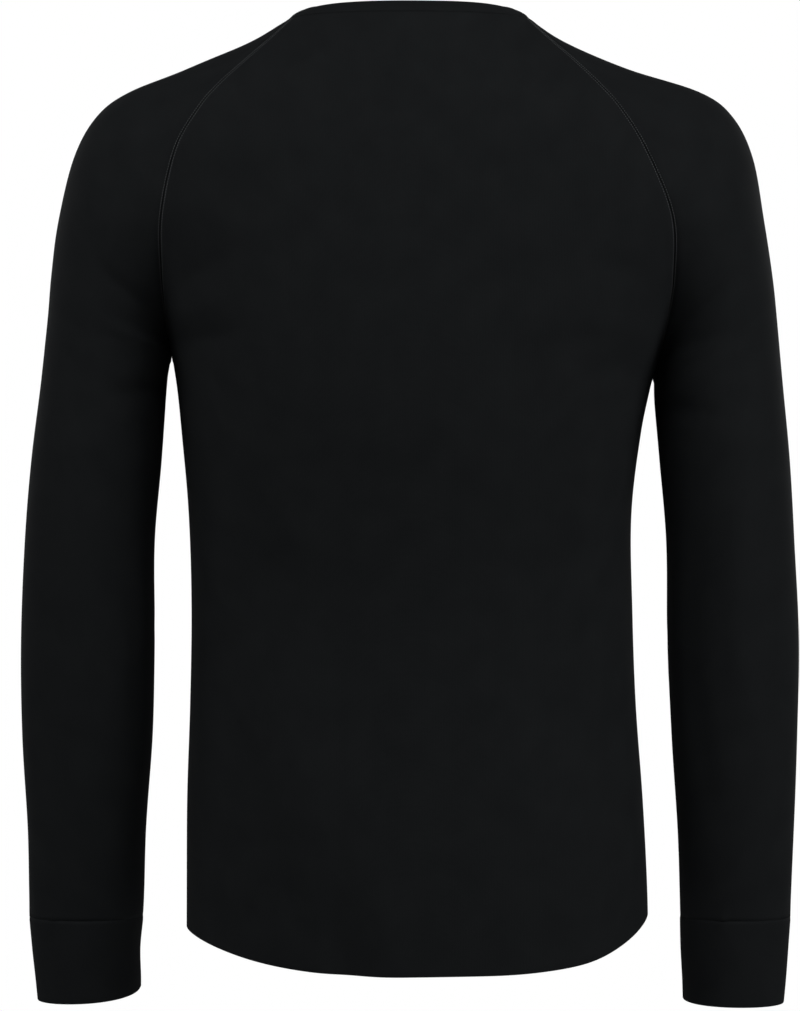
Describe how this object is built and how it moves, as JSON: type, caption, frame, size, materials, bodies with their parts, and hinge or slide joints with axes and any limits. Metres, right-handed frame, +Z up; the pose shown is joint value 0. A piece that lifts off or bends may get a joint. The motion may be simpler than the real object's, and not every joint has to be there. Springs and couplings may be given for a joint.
{
  "type": "base layer top",
  "caption": "Long-sleeved crew-neck base layer top with raglan sleeves, hollow as worn, in plain black knit.",
  "frame": {"origin": "The middle of the neck, level with the side neck points, where the garment hangs on the wearer's shoulders.", "axes": "+Z is up, +Y is towards the wearer's front and -X towards the wearer's left."},
  "size_m": [0.5679, 0.2387, 0.7261],
  "materials": {
    "panel_knit": "fine matt single jersey",
    "cuff_knit": "fine matt jersey, doubled",
    "neckband_knit": "fine matt jersey, doubled"
  },
  "bodies": {
    "root": {"back": "panel_knit", "front": "panel_knit", "sleeve_left": "panel_knit", "sleeve_right": "panel_knit", "cuff_left": "cuff_knit", "cuff_right": "cuff_knit", "neckband": "neckband_knit"}
  },
  "joints": []
}
